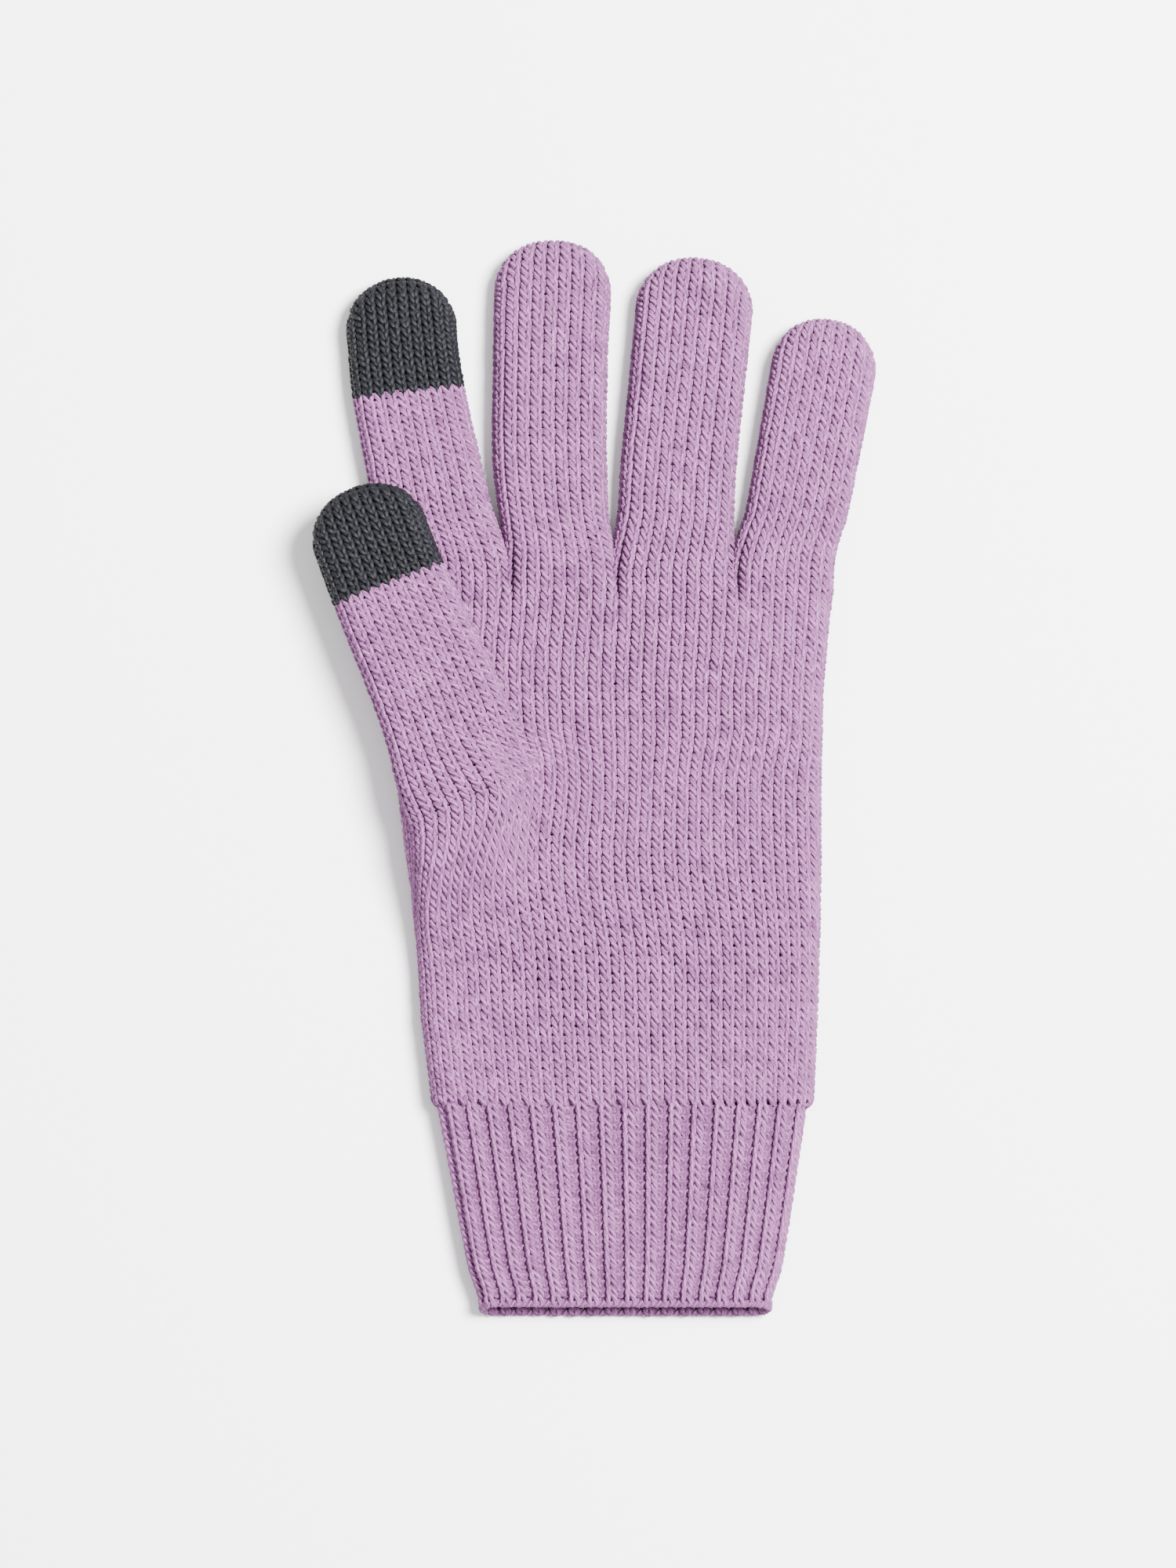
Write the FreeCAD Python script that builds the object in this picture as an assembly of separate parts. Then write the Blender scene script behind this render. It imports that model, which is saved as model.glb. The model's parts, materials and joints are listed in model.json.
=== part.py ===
import FreeCAD, Part
import math
import os

# A knitted touchscreen glove for the left hand, lying flat, palm side up.
# Millimetres. X runs across the hand, Y from the cuff to the fingertips,
# Z up from the table. The glove is one knitted shell: every piece below is a
# hollow flattened tube of knitted fabric, open into its neighbours.

# ---- fabric -------------------------------------------------------------
FABRIC = 2.2            # thickness of the knitted fabric
LOFT_HEIGHT = 10.0      # height of a relaxed tube lying on the table
JOINT_GAP = 0.5         # clear gap between two pieces where the glove folds
SEAM_GAP = 0.3          # clear gap between neighbouring fingers
TIP_ROUNDING = 11.0     # length of the rounded end of a finger
PRESSED = 0.05          # how far the palm's underside is pressed flat on the table
THUMB_LIFT = 0.4        # clear gap between the thumb and the palm below it
OVERRUN = 1.0           # how far a hollow is pushed past the ends of its tube
REACH = 200.0           # half the size of the blocks that trim the pieces
CUTTER = 10.0           # thickness of those blocks

# ---- overall levels along the hand ---------------------------------------
CUFF_MOUTH = -125.0     # the hand opening
CUFF_EDGE_TOP = -122.2  # upper side of the cast-on edge
CUFF_TOP = -75.4        # where the rib ends and the plain palm starts
PALM_SPLIT = -2.0       # where the thumb leaves the palm
WEB_LINE = 46.0         # where the four fingers start

# ---- cuff ----------------------------------------------------------------
# level, left side, right side
CUFF_OUTLINE = [
    (CUFF_MOUTH, -27.6, 41.6),
    (-115.0, -30.0, 43.9),
    (-95.0, -33.6, 46.9),
    (CUFF_TOP, -37.4, 49.8),
]
# the rounded cast-on edge: share of its height, inset of its sides, inset of its faces
CUFF_EDGE_PROFILE = [
    (0.0, 0.9, 0.9),
    (0.18, 0.0, 0.2),
    (0.39, -0.2, 0.0),
    (0.64, -0.2, 0.0),
    (1.0, 0.0, 0.4),
]
CUFF_SETBACK = 0.4      # how far the rib fabric stays below the ribs' tops
RIB_RADIUS = 0.95
RIBS_PER_SIDE = 18
RIB_MARGIN = 2.6        # from the folded side of the cuff to the first rib
ELASTIC_RADIUS = 0.25
ELASTIC_CHANNEL = 0.31  # radius of the way the elastic thread lies in
ELASTIC_TURNS = 10
ELASTIC_MARGIN = 3.0    # plain rib below the first turn and above the last
ELASTIC_DEPTH = 0.62    # how deep in the fabric the thread lies, as a share of it

# ---- palm ----------------------------------------------------------------
LOWER_PALM_OUTLINE = [
    (CUFF_TOP, -38.2, 51.0),
    (-56.0, -40.6, 51.9),
    (-36.0, -41.8, 52.5),
    (-19.0, -43.2, 52.8),
    (PALM_SPLIT, -45.2, 52.8),
]
UPPER_PALM_OUTLINE = [
    (PALM_SPLIT, -45.2, 52.8),
    (20.0, -46.8, 53.2),
    (35.0, -48.2, 54.5),
    (WEB_LINE, -49.4, 55.8),
]

# ---- fingers -------------------------------------------------------------
# Each finger: name, left and right side at the web, then the centre line
# through the first joint, the second joint and the end of the tip, and the
# width at the two joints and just below the rounded end.
FINGERS = [
    {
        "name": "index",
        "web": (-49.4, -20.2),
        "line": [(-34.8, WEB_LINE), (-39.7, 71.4), (-43.4, 89.6), (-46.4, 116.3)],
        "widths": (27.0, 26.4, 25.8),
        "tip_node": "index_touch_tip",
    },
    {
        "name": "middle",
        "web": (-20.2, 4.2),
        "line": [(-8.0, WEB_LINE), (-10.5, 72.0), (-10.4, 98.0), (-9.5, 125.1)],
        "widths": (26.9, 27.0, 27.4),
        "tip_node": "middle_tip",
    },
    {
        "name": "ring",
        "web": (4.2, 32.2),
        "line": [(18.2, WEB_LINE), (19.3, 71.4), (21.6, 94.5), (24.1, 120.9)],
        "widths": (27.2, 27.3, 27.4),
        "tip_node": "ring_tip",
    },
    {
        "name": "little",
        "web": (32.2, 55.8),
        "line": [(44.0, WEB_LINE), (47.9, 67.2), (51.1, 84.3), (55.2, 106.6)],
        "widths": (24.0, 24.4, 24.6),
        "tip_node": "little_tip",
    },
]

ROOT_TURN = 1.6         # a finger's root has turned by less than half, halfway up

# ---- thumb ---------------------------------------------------------------
# The thumb lies over the palm and leans out towards its own side.
THUMB_START = (-24.0, -46.0)     # where the palm starts to rise for the thumb
THUMB_CROTCH = (-28.0, -4.6)     # centre of the line where it leaves the palm
THUMB_MIDDLE = (-37.3, 16.8)
THUMB_JOINT = (-47.7, 44.7)      # where the grey touch tip starts
THUMB_END = (-56.3, 67.0)
THUMB_WIDTHS = (30.0, 32.0, 29.8, 27.6, 27.2)
THUMB_ROOT_LEVEL_LENGTH = 7.0    # the last part of the rise, almost level
THUMB_ROOT_RISES = (3.6, 9.5)    # height gained halfway up the rise, and before that last part
THUMB_ROOT_SLIM = 0.3            # the rise starts this far inside the palm's faces


def vec(x, y, z):
    return FreeCAD.Vector(x, y, z)


def across(start, end):
    """Unit direction to the right of the line from start to end."""
    dx = end[0] - start[0]
    dy = end[1] - start[1]
    length = math.hypot(dx, dy)
    return (dy / length, -dx / length)


def along(start, end):
    """Unit direction of the line from start to end."""
    dx = end[0] - start[0]
    dy = end[1] - start[1]
    length = math.hypot(dx, dy)
    return (dx / length, dy / length)


def shift(point, direction, amount):
    return (point[0] + direction[0] * amount, point[1] + direction[1] * amount)


def flat_section(left, right, low, high):
    """Flattened tube section: two flat sides joined by two half rounds."""
    radius = (high - low) / 2.0
    middle = (high + low) / 2.0
    side = along(left, right)
    a = shift(left, side, radius)
    b = shift(right, side, -radius)
    top = Part.makeLine(vec(a[0], a[1], high), vec(b[0], b[1], high))
    right_arc = Part.Arc(
        vec(b[0], b[1], high),
        vec(right[0], right[1], middle),
        vec(b[0], b[1], low),
    ).toShape()
    bottom = Part.makeLine(vec(b[0], b[1], low), vec(a[0], a[1], low))
    left_arc = Part.Arc(
        vec(a[0], a[1], low),
        vec(left[0], left[1], middle),
        vec(a[0], a[1], high),
    ).toShape()
    return Part.Wire([top, right_arc, bottom, left_arc])


def inset(station, amount):
    """The same section drawn a fabric thickness further in."""
    left, right, low, high = station
    side = along(left, right)
    return (
        shift(left, side, amount),
        shift(right, side, -amount),
        low + amount,
        high - amount,
    )


def solid_through(stations):
    wires = [flat_section(*station) for station in stations]
    return Part.makeLoft(wires, True, True)


def smooth_solid_through(stations):
    wires = [flat_section(*station) for station in stations]
    return Part.makeLoft(wires, True, False)


def overrun_ends(inner):
    """Push both end sections of a hollow a little past the fabric's ends."""
    inner = list(inner)
    first = list(inner[0])
    last = list(inner[-1])
    back = along_stations(inner[1], inner[0])
    ahead = along_stations(inner[-2], inner[-1])
    first[0] = shift(first[0], back, OVERRUN)
    first[1] = shift(first[1], back, OVERRUN)
    last[0] = shift(last[0], ahead, OVERRUN)
    last[1] = shift(last[1], ahead, OVERRUN)
    inner[0] = tuple(first)
    inner[-1] = tuple(last)
    return inner


def open_tube(stations):
    """Hollow tube open at both ends."""
    outside = solid_through(stations)
    inner = overrun_ends([inset(station, FABRIC) for station in stations])
    return outside.cut(solid_through(inner))


def along_stations(first, second):
    start = ((first[0][0] + first[1][0]) / 2.0, (first[0][1] + first[1][1]) / 2.0)
    end = ((second[0][0] + second[1][0]) / 2.0, (second[0][1] + second[1][1]) / 2.0)
    return along(start, end)


def straight_stations(outline, low, high):
    return [((left, y), (right, y), low, high) for y, left, right in outline]


def centred_station(centre, side, width, low, high):
    left = shift(centre, side, -width / 2.0)
    right = shift(centre, side, width / 2.0)
    return (left, right, low, high)


def rounded_tip(start, end, width_start, width_full, low, high):
    """Closed finger end, hollow, open towards the rest of the finger."""
    direction = along(start, end)
    side = across(start, end)
    length = math.hypot(end[0] - start[0], end[1] - start[1])
    straight = length - TIP_ROUNDING
    middle = (low + high) / 2.0
    half_height = (high - low) / 2.0

    def stations(wall, first_at):
        half = half_height - wall
        first = shift(start, direction, first_at)
        result = [centred_station(first, side, width_start - 2.0 * wall, middle - half, middle + half)]
        rounding = TIP_ROUNDING - wall
        for turn in range(0, 88, 8):
            step = math.sin(math.radians(turn))
            centre = shift(start, direction, straight + rounding * step)
            half = (half_height - wall) * (1.0 - step ** 4) ** 0.5
            width = (width_full - 2.0 * wall) * (1.0 - step ** 2) ** 0.5
            width = max(width, 2.1 * half)
            result.append(centred_station(centre, side, width, middle - half, middle + half))
        return result

    outside = solid_through(stations(0.0, 0.0))
    inside = solid_through(stations(FABRIC, -OVERRUN))
    return outside.cut(inside)


def cutting_block(y):
    return Part.makeBox(2.0 * REACH, CUTTER, REACH, vec(-REACH, y, -REACH / 2.0))


def rib_position(left, right, share):
    return left + RIB_MARGIN + (right - left - 2.0 * RIB_MARGIN) * share


def make_cuff(channel):
    low = CUFF_SETBACK
    high = LOFT_HEIGHT - CUFF_SETBACK
    outline = [(CUFF_EDGE_TOP,) + CUFF_OUTLINE[0][1:]] + CUFF_OUTLINE[1:]
    tube = open_tube(straight_stations(outline, low, high))
    bottom = outline[0]
    top = outline[-1]
    ribs = []
    for index in range(RIBS_PER_SIDE):
        part_way = (index + 0.5) / RIBS_PER_SIDE
        inset_bottom = rib_position(bottom[1], bottom[2], part_way)
        inset_top = rib_position(top[1], top[2], part_way)
        for level in (RIB_RADIUS, LOFT_HEIGHT - RIB_RADIUS):
            start = vec(inset_bottom, bottom[0], level)
            end = vec(inset_top, top[0], level)
            run = end.sub(start)
            ribs.append(Part.makeCylinder(RIB_RADIUS, run.Length, start, run))
    rib = tube.multiFuse(ribs).cut(channel)
    below = cutting_block(CUFF_EDGE_TOP - CUTTER)
    above = cutting_block(CUFF_TOP)
    return rib.cut(below).cut(above)


def make_cuff_edge():
    _, left, right = CUFF_OUTLINE[0]
    stations = []
    for rise, side_inset, face_inset in CUFF_EDGE_PROFILE:
        level = CUFF_MOUTH + (CUFF_EDGE_TOP - CUFF_MOUTH) * rise
        stations.append((
            (left + side_inset, level),
            (right - side_inset, level),
            face_inset,
            LOFT_HEIGHT - face_inset,
        ))
    outside = solid_through(stations)
    wall = FABRIC + CUFF_SETBACK
    hole = []
    for level in (CUFF_MOUTH - OVERRUN, CUFF_EDGE_TOP + OVERRUN):
        hole.append(((left + wall, level), (right - wall, level), wall, LOFT_HEIGHT - wall))
    return outside.cut(solid_through(hole))


def cuff_sides_at(y):
    for lower, upper in zip(CUFF_OUTLINE, CUFF_OUTLINE[1:]):
        if lower[0] <= y <= upper[0]:
            share = (y - lower[0]) / (upper[0] - lower[0])
            left = lower[1] + (upper[1] - lower[1]) * share
            right = lower[2] + (upper[2] - lower[2]) * share
            return left, right
    raise ValueError(y)


def make_elastic(radius):
    """One elastic thread laid round inside the rib fabric, turn after turn."""
    low = CUFF_SETBACK
    high = LOFT_HEIGHT - CUFF_SETBACK
    first = CUFF_EDGE_TOP + ELASTIC_MARGIN
    last = CUFF_TOP - ELASTIC_MARGIN
    offset = FABRIC * ELASTIC_DEPTH
    turns = []
    side_points = []
    for turn in range(ELASTIC_TURNS):
        y = first + (last - first) * turn / (ELASTIC_TURNS - 1)
        left, right = cuff_sides_at(y)
        path = flat_section((left + offset, y), (right - offset, y), low + offset, high - offset)
        start = path.Vertexes[0].Point
        profile = Part.Wire([Part.makeCircle(radius, start, vec(1, 0, 0))])
        turns.append(path.makePipeShell([profile], True, True))
        side_points.append(vec(right - offset, y, (low + high) / 2.0))
    steps = []
    for start, end in zip(side_points, side_points[1:]):
        run = end.sub(start)
        steps.append(Part.makeCylinder(radius * 0.9, run.Length, start, run))
    return turns[0].multiFuse(turns[1:] + steps)


def make_lower_palm():
    """The wide tube above the cuff; it rises on one side into the thumb."""
    high = LOFT_HEIGHT
    outline = LOWER_PALM_OUTLINE
    stations = straight_stations(outline, -PRESSED, high)
    outside = solid_through(stations)
    inside = solid_through(overrun_ends([inset(station, FABRIC) for station in stations]))
    thumb_out = smooth_solid_through(thumb_root_stations(0.0, 0.0))
    thumb_in = smooth_solid_through(thumb_root_stations(FABRIC, 1.0))
    return pressed_flat(outside.fuse(thumb_out).cut(inside).cut(thumb_in))


def thumb_root_stations(wall, overrun):
    """Sections of the rise from the flat palm up to the thumb's first row."""
    direction = along(THUMB_CROTCH, THUMB_MIDDLE)
    side = across(THUMB_CROTCH, THUMB_MIDDLE)
    end = shift(THUMB_CROTCH, direction, overrun - JOINT_GAP / 2.0)
    near_end = shift(THUMB_CROTCH, direction, -THUMB_ROOT_LEVEL_LENGTH)
    middle = ((THUMB_START[0] + near_end[0]) / 2.0, (THUMB_START[1] + near_end[1]) / 2.0)
    half_side = across((0, 0), (direction[0] / 2.0, 1.0))
    start_width = THUMB_WIDTHS[0] - 2 * wall
    end_width = THUMB_WIDTHS[1] - 2 * wall
    sections = [
        (THUMB_START, (1.0, 0.0), start_width, 0.0),
        (middle, half_side, start_width, THUMB_ROOT_RISES[0]),
        (near_end, side, end_width, THUMB_ROOT_RISES[1]),
        (end, side, end_width, LOFT_HEIGHT + THUMB_LIFT),
    ]
    result = []
    for centre, across_way, width, lift in sections:
        slim = THUMB_ROOT_SLIM if lift == 0.0 else 0.0
        low = lift + slim + wall
        high = lift + LOFT_HEIGHT - slim - wall
        result.append(centred_station(centre, across_way, width, low, high))
    return result


def make_upper_palm():
    outline = UPPER_PALM_OUTLINE
    return pressed_flat(open_tube(straight_stations(outline, -PRESSED, LOFT_HEIGHT)))


def pressed_flat(shape):
    """Underside flattened where the fabric lies on the table."""
    table = Part.makeBox(2.0 * REACH, 2.0 * REACH, CUTTER, vec(-REACH, -REACH, -CUTTER))
    return shape.cut(table)


def make_finger(finger):
    web_left, web_right = finger["web"]
    web, first, second, end = finger["line"]
    width_first, width_second, width_end = finger["widths"]
    low = 0.0
    high = LOFT_HEIGHT
    half_gap = JOINT_GAP / 2.0
    lower_way = along(web, first)
    middle_way = along(first, second)
    middle_side = across(first, second)
    tip_way = along(second, end)
    name = finger["name"]

    root_start = ((web_left + SEAM_GAP / 2.0, web[1]), (web_right - SEAM_GAP / 2.0, web[1]), low, high)
    halfway = ((web[0] + first[0]) / 2.0, (web[1] + first[1]) / 2.0)
    width_halfway = (root_start[1][0] - root_start[0][0] + width_first) / 2.0
    side_halfway = across((0, 0), (lower_way[0], lower_way[1] * ROOT_TURN))
    root = open_tube([
        root_start,
        centred_station(halfway, side_halfway, width_halfway, low, high),
        centred_station(shift(first, middle_way, -half_gap), middle_side, width_first, low, high),
    ])
    middle = open_tube([
        centred_station(shift(first, middle_way, half_gap), middle_side, width_first, low, high),
        centred_station(shift(second, middle_way, -half_gap), across(second, end), width_second, low, high),
    ])
    tip = rounded_tip(shift(second, tip_way, half_gap), end, width_second, width_end, low, high)
    return {
        name + "_root": root,
        name + "_middle": middle,
        finger["tip_node"]: tip,
    }


def make_thumb():
    low = LOFT_HEIGHT + THUMB_LIFT
    high = low + LOFT_HEIGHT
    half_gap = JOINT_GAP / 2.0
    way = along(THUMB_CROTCH, THUMB_MIDDLE)
    side = across(THUMB_CROTCH, THUMB_MIDDLE)
    joint_way = along(THUMB_JOINT, THUMB_END)
    joint_side = across(THUMB_JOINT, THUMB_END)
    tube = open_tube([
        centred_station(shift(THUMB_CROTCH, way, half_gap), side, THUMB_WIDTHS[1], low, high),
        centred_station(THUMB_MIDDLE, across(THUMB_CROTCH, THUMB_JOINT), THUMB_WIDTHS[2], low, high),
        centred_station(shift(THUMB_JOINT, joint_way, -half_gap), joint_side, THUMB_WIDTHS[3], low, high),
    ])
    start = shift(THUMB_JOINT, joint_way, half_gap)
    tip = rounded_tip(start, THUMB_END, THUMB_WIDTHS[3], THUMB_WIDTHS[4], low, high)
    return {"thumb_tube": tube, "thumb_touch_tip": tip}


def main():
    os.makedirs("parts", exist_ok=True)
    pieces = {
        "cuff_rib": make_cuff(make_elastic(ELASTIC_CHANNEL)),
        "cuff_edge": make_cuff_edge(),
        "cuff_elastic": make_elastic(ELASTIC_RADIUS),
        "palm_lower": make_lower_palm(),
        "palm_upper": make_upper_palm(),
    }
    for finger in FINGERS:
        pieces.update(make_finger(finger))
    pieces.update(make_thumb())
    for name, shape in pieces.items():
        shape.exportStep("parts/" + name + ".step")
        box = shape.optimalBoundingBox()
        print(
            name, "solids", len(shape.Solids), "valid", shape.isValid(),
            "volume", round(shape.Volume, 1),
            "x", round(box.XMin, 1), round(box.XMax, 1),
            "y", round(box.YMin, 1), round(box.YMax, 1),
            "z", round(box.ZMin, 1), round(box.ZMax, 1),
        )


main()
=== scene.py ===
"""A knitted touchscreen glove lying flat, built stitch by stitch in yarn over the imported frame."""

import json
import math

import bpy
import numpy as np
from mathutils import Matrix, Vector


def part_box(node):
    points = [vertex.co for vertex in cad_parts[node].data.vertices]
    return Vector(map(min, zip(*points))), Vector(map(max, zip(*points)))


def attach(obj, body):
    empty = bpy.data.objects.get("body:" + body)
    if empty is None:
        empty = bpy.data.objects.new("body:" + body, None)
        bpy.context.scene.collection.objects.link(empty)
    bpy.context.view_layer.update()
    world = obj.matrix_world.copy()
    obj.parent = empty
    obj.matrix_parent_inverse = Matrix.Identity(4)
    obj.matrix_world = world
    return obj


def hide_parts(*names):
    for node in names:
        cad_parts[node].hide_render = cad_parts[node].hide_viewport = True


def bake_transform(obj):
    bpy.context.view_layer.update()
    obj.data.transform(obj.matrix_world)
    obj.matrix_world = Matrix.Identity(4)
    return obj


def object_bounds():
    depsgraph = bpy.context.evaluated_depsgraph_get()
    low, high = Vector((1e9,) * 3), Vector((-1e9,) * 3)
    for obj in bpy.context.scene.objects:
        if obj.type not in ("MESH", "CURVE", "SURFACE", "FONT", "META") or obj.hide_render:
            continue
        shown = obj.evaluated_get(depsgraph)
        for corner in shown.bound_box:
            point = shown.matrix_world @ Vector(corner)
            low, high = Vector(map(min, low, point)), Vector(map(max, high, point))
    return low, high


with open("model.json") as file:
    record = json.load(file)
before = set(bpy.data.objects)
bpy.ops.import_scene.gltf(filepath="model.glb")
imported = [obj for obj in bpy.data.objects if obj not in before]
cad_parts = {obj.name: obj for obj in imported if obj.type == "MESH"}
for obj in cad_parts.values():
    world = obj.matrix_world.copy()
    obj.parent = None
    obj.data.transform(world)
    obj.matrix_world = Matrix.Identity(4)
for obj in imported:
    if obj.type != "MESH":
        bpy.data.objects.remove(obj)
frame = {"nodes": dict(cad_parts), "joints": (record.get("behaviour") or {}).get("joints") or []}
cad_low, cad_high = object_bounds()

MM = 0.001

# ---- yarn and stitches (millimetres, and shares of a stitch) ----------------------
YARN_RADIUS = 0.50
STEPS_PER_STITCH = 14
LOOP_BULGE = 1.52        # how far the legs of a loop spread
LOOP_GATHER = 0.30       # how far both legs lean into the middle of their own wale
LOOP_REACH = 1.00        # half height of a loop, in courses
LOOP_DEPTH = 0.56        # how far the legs stand out from the loop's ends
LOOP_LEAN = 0.105        # the yarn's twist leans every loop
# painted shade: the hidden ends of a loop, deep in the fabric, are painted darker by this share
LOOP_END_PAINTED_SHADE = 0.40        # the hidden ends of a loop are darker by this share
PLIES = 4
PLY_TURN = 8.0           # length of one turn of the plies
PLY_RELIEF = 0.10        # plies stand out, and their grooves lie back, by this share of the radius
FABRIC_INSET = 1.05      # from the outer surface to the middle of the fabric

# small differences from stitch to stitch: shares of a wale, a course, the loop and the yarn, and millimetres
VARY_ACROSS = 0.035
VARY_ALONG = 0.05
VARY_SIZE = 0.05
VARY_LEVEL = 0.05
VARY_THICKNESS = 0.035
VARY_TONE = 0.14
MIDDLE_TONE = 0.62
LOOP_END_THICKNESS = 0.84  # yarn is pinched at the ends of a loop
LEG_SWELLS = 0.22        # and fuller along its legs
LEG_FLATTENS = 0.20

# ---- the rib of the cuff ------------------------------------------------------------
RIB_RELIEF = 0.70        # how far knit columns stand over purl ones, from their mean
RIB_SETBACK = 0.35       # the middle of the rib lies this far under the palm's surface
RIB_REACH = 0.98
RIB_DEPTH = 0.42
RIB_BULGE = 1.42         # how far the legs of a rib's loop spread
RIB_LEAN = 0.12          # how far the yarn's twist leans the knit columns' loops
RIB_CROWD = 0.04         # knit columns take this much more of the width than purl ones
RIB_RADIUS = 0.52
RIB_VARIES = 0.04
PURL_SWELL = 0.22        # relaxed yarn fills the recess between the knit columns
# painted shade: the recessed purl columns are painted darker by this share
PURL_PAINTED_SHADE = 0.16
COLUMN_EDGE = 1.8        # how sharply a knit column turns into a purl one
RIB_STEPS = 18
CUFF_OPENING = 2.6       # the front edge of the cuff lies this far above the back edge
EDGE_STEPS = 12
ELASTIC_TURNS = 10
ELASTIC_MARGIN = 1.5     # plain courses below the first turn and above the last
ELASTIC_RADIUS = 0.14
ELASTIC_STEPS = 6

# ---- wales (columns) round each tube, and courses (rows) along it ------------------
CUFF_COURSES = 25
PALM_WALES = 72          # half of them on the palm side, half on the back
LOWER_COURSES = 37
UPPER_COURSES = 27
CROTCH_WALE = 12         # the palm's wale that runs into the thumb's crotch
CROTCH_FOOT = 1.5        # the thumb's inner wall meets the palm this far past the thumb's edge
THUMB_SLOPE = 9.0        # the palm falls from the thumb's height over this length
THUMB_WALL = 2.0         # how far in from the palm's edge the thumb's outer wall stands
WALL_WALE = 68           # the back's wale that runs up the thumb's outer wall
WALL_COURSES = 6.0       # the wall falls back to the flat palm within these courses
THUMB_RISE = (0.42, 0.97)  # the palm rises to the thumb between these shares of its lower part
THUMB_PULL = (0.40, 0.97)  # and its wales run over to the thumb between these
UNDER_THUMB = 0.3        # past the thumb, its first wale starts this share of the way to the crotch
CROTCH_RELEASE = 0.32    # above the thumb the wales are even again after this share
WEB_GATHER = 0.45        # and run to their own fingers from this share on
WEB_GROOVE_LENGTH = 7.0  # the grooves between the fingers start this far below the web line
WEB_GROOVE_REACH = 3.2
WEB_GROOVE_DEPTH = 0.8
# wales a finger takes over from the palm's front (and as many from its back),
# and those picked up in the crotches on its left and on its right
FINGER_WALES = {"index": (10, 0, 1), "middle": (8, 1, 1), "ring": (9, 1, 0), "little": (9, 1, 0)}
ROOT_COURSES = 9         # a tube takes this many courses to find its own shape
FINGER_COURSE = 1.84
THUMB_WALES = 24
THUMB_COURSE = 2.05
TIP_ROUNDING = 11.0

ROWS_PER_PIECE = 10
CUFF_ROWS_PER_PIECE = 9


# ---- reading the frame ------------------------------------------------------------
def node_mesh(name):
    mesh = frame["nodes"][name].data
    points = np.zeros(len(mesh.vertices) * 3, np.float32)
    mesh.vertices.foreach_get("co", points)
    edges = np.zeros(len(mesh.edges) * 2, np.int32)
    mesh.edges.foreach_get("vertices", edges)
    return points.reshape(-1, 3).astype(float) / MM, edges.reshape(-1, 2)


def cut(name, origin, direction, low=-1e9, high=1e9):
    """Points where a plane through origin, square to direction, cuts a node, between two heights."""
    points, edges = node_mesh(name)
    origin = np.array([origin[0], origin[1], 0.0])
    direction = np.array([direction[0], direction[1], 0.0])
    away = (points - origin) @ direction
    first, second = away[edges[:, 0]], away[edges[:, 1]]
    crossing = first * second < 0
    share = first[crossing] / (first[crossing] - second[crossing])
    a = points[edges[crossing, 0]]
    b = points[edges[crossing, 1]]
    found = a + (b - a) * share[:, None]
    return found[(found[:, 2] >= low) & (found[:, 2] <= high)]


def sides(name, origin, direction, low=-1e9, high=1e9):
    """Left and right distance of a node's surface from origin, across direction."""
    across = np.array([direction[1], -direction[0], 0.0])
    found = (cut(name, origin, direction, low, high) - np.array([*origin, 0.0])) @ across
    return found.min(), found.max()


def box(name):
    low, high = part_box(name)
    return np.array(low) / MM, np.array(high) / MM


JOINTS = {joint["name"]: joint for joint in frame["joints"]}


def joint_place(name):
    return np.array(JOINTS[name]["pos_m"]) / MM


def fold_direction(name):
    """The way a finger points at one of its folds."""
    axis = np.array(JOINTS[name]["axis"], float)
    return np.cross([0.0, 0.0, 1.0], axis)[:2]


def smoothstep(value, start=0.0, end=1.0):
    share = np.clip((np.asarray(value, float) - start) / (end - start), 0.0, 1.0)
    return share * share * (3.0 - 2.0 * share)


# ---- surfaces the fabric follows ----------------------------------------------------
class Surface:
    """A ring of points for every course, read between rings and round them."""

    def __init__(self, rings, wales, step):
        self.rings = np.array(rings)
        self.wales = wales
        self.step = step

    def point(self, wale, course):
        count = self.rings.shape[1]
        along = np.clip(course / self.step, -8.0, self.rings.shape[0] + 7.0)
        row = np.clip(np.floor(along).astype(int), 0, self.rings.shape[0] - 2)
        up = (along - row)[:, None]
        around = np.mod(wale / self.wales, 1.0) * count
        column = np.floor(around).astype(int)
        side = (around - column)[:, None]
        column = np.mod(column, count)
        following = np.mod(column + 1, count)
        lower = self.rings[row, column] * (1 - side) + self.rings[row, following] * side
        upper = self.rings[row + 1, column] * (1 - side) + self.rings[row + 1, following] * side
        return lower * (1 - up) + upper * up

    def place(self, wale, course):
        """Points, and outward directions, at wale and course."""
        here = self.point(wale, course)
        round_way = self.point(wale + 0.35, course) - self.point(wale - 0.35, course)
        long_way = self.point(wale, course + 0.5) - self.point(wale, course - 0.5)
        outward = np.cross(round_way, long_way)
        outward /= np.linalg.norm(outward, axis=1)[:, None] + 1e-9
        return here, outward


def ripple(points):
    """The slight waves of fabric that has been worn, folded and smoothed out."""
    x, y = points[..., 0], points[..., 1]
    wave = 0.22 * np.sin(x / 8.7 + y / 31.0 + 0.4) * np.sin(y / 14.3 + 1.1)
    wave += 0.16 * np.sin(x / 5.1 - y / 9.7 + 2.0) + 0.12 * np.sin(y / 6.3 + x / 17.0)
    return wave


def rounded_half(width, radius, height, samples=240):
    """Half a flattened ring from its left edge over the top to its right edge:
    distances from the left edge, heights and lengths along the curve."""
    turn = np.linspace(0.0, math.pi / 2, 40)
    left = radius * (1 - np.cos(turn))
    flat = np.linspace(radius, width - radius, samples)[1:-1]
    right = width - left[::-1]
    across = np.concatenate([left, flat, right])
    edge = np.minimum(across, width - across)
    inward = np.clip(1.0 - edge / radius, 0.0, 1.0)
    up = height * np.sqrt(1.0 - inward ** 2)
    return across, up


def lengths(across, up):
    return np.concatenate([[0.0], np.cumsum(np.hypot(np.diff(across), np.diff(up)))])


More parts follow.
